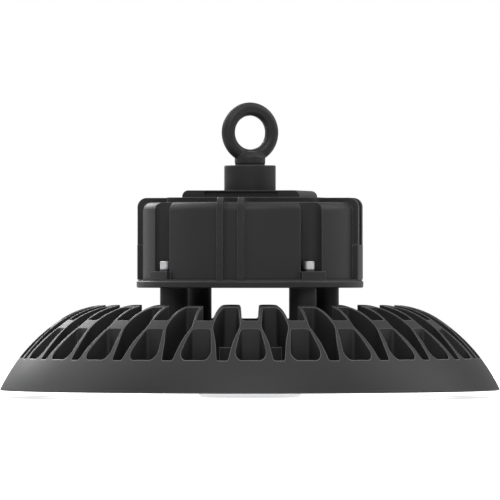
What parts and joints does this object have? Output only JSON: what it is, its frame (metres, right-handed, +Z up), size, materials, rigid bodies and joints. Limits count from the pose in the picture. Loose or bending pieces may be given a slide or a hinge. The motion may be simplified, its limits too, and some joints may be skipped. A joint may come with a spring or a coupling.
{
  "type": "industrial high-bay led light",
  "caption": "Round hanging high-bay light with a domed finned heat sink, a driver housing on posts above it, an optic plate below and a lifting eye on top.",
  "frame": {"origin": "on the light's axis, in the plane of the lowest face of the lens", "axes": "+Z up along the light's axis, towards the lifting eye; X and Y through the ribbed sides of the driver cover, +Y towards the cable inlet"},
  "size_m": [0.32, 0.32, 0.1888],
  "materials": {
    "black_casting": "satin black powder coat on die-cast aluminium",
    "black_steel": "satin black coated forged steel",
    "bright_steel": "bright zinc-plated steel",
    "brass_spacer": "turned brass",
    "black_rubber": "matte moulded rubber",
    "clear_silicone": "translucent silicone",
    "black_plastic": "matte black nylon",
    "white_optic": "opal polycarbonate",
    "white_board": "white solder mask on aluminium",
    "yellow_phosphor": "phosphor in silicone",
    "red_insulation": "wire insulation",
    "green_board": "green solder mask",
    "dark_ferrite": "ferrite core with taped winding",
    "copper_winding": "enamelled copper wire",
    "red_plastic": "epoxy-dipped film capacitor",
    "bare_aluminium": "mill-finish aluminium",
    "green_plastic": "moulded green nylon"
  },
  "bodies": {
    "root": {"heat_sink": "black_casting", "driver_base": "black_casting", "driver_cover": "black_casting", "eye_bolt": "black_steel", "cover_screws": "bright_steel", "cover_lock_washers": "bright_steel", "base_screws": "bright_steel", "board_screws": "bright_steel", "bezel_screws": "bright_steel", "driver_board_screws": "bright_steel", "board_spacers": "brass_spacer", "eye_washer": "bright_steel", "eye_nut": "bright_steel", "eye_seal": "black_rubber", "driver_gasket": "black_rubber", "lens_gasket": "clear_silicone", "lead_grommet": "black_rubber", "inlet_washer": "black_rubber", "inlet_sleeve": "black_rubber", "inlet_body": "black_plastic", "inlet_nut": "black_plastic", "bezel_ring": "black_casting", "lens": "white_optic", "led_board": "white_board", "led_chips": "yellow_phosphor", "led_leads": "red_insulation", "driver_board": "green_board", "transformer": "dark_ferrite", "choke": "copper_winding", "bulk_capacitors": "black_plastic", "film_capacitor": "red_plastic", "power_cooler": "bare_aluminium", "power_transistors": "black_plastic", "terminal_block": "green_plastic"}
  },
  "joints": []
}
